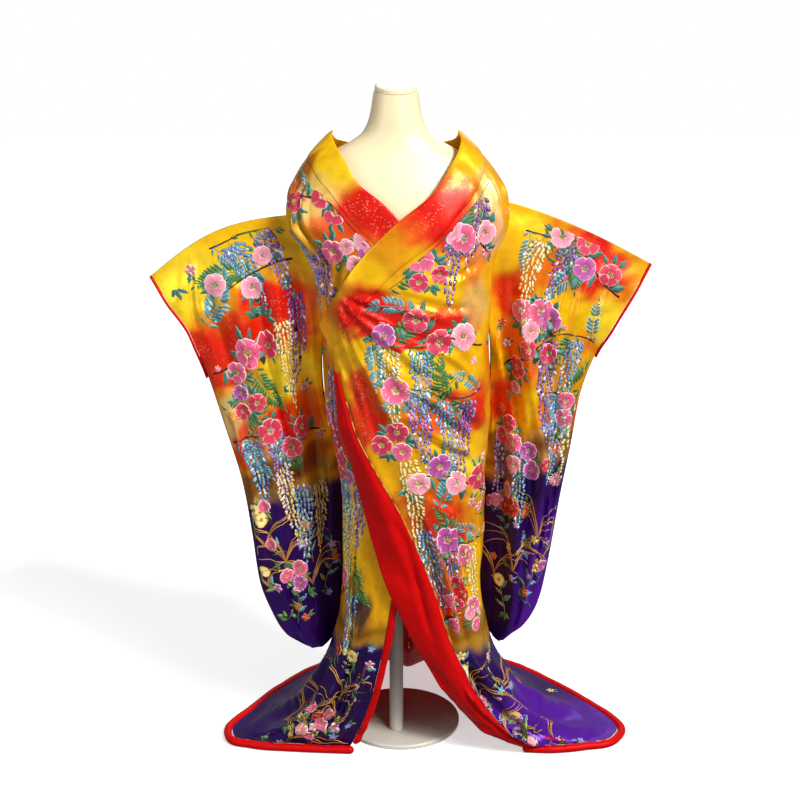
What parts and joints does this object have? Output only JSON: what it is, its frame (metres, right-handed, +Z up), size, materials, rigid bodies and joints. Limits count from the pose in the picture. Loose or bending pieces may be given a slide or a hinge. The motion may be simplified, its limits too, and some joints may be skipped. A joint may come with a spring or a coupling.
{
  "type": "uchikake wedding kimono on a dress form",
  "caption": "Long-sleeved wedding over-robe, crossed at the chest and trailing at the hem, worn by a plain limbless dress form on a low round stand.",
  "frame": {"origin": "on the floor, straight under the form's neck, in the flat underside of the stand", "axes": "+Z up; the robe's front faces -Y; +X is the wearer's left, the viewer's right"},
  "size_m": [1.0617, 0.5961, 1.5152],
  "materials": {
    "printed_silk": "silk satin, dyed in yellow, red, gold and deep purple with drawn flowers",
    "red_lining_silk": "plain silk with a soft sheen",
    "cream_form_shell": "smooth semi-gloss cream shell",
    "painted_stand": "satin paint"
  },
  "bodies": {
    "root": {"body_right": "printed_silk", "body_left": "printed_silk", "okumi_right": "printed_silk", "okumi_left": "printed_silk", "collar": "printed_silk", "sleeve_right": "printed_silk", "sleeve_left": "printed_silk", "cuff_roll_right": "red_lining_silk", "cuff_roll_left": "red_lining_silk", "hem_roll": "red_lining_silk", "edge_roll_right": "red_lining_silk", "lining_turned_back": "red_lining_silk", "form_torso": "cream_form_shell", "form_neck_cap": "cream_form_shell", "form_pole": "painted_stand", "form_base": "painted_stand"}
  },
  "joints": []
}
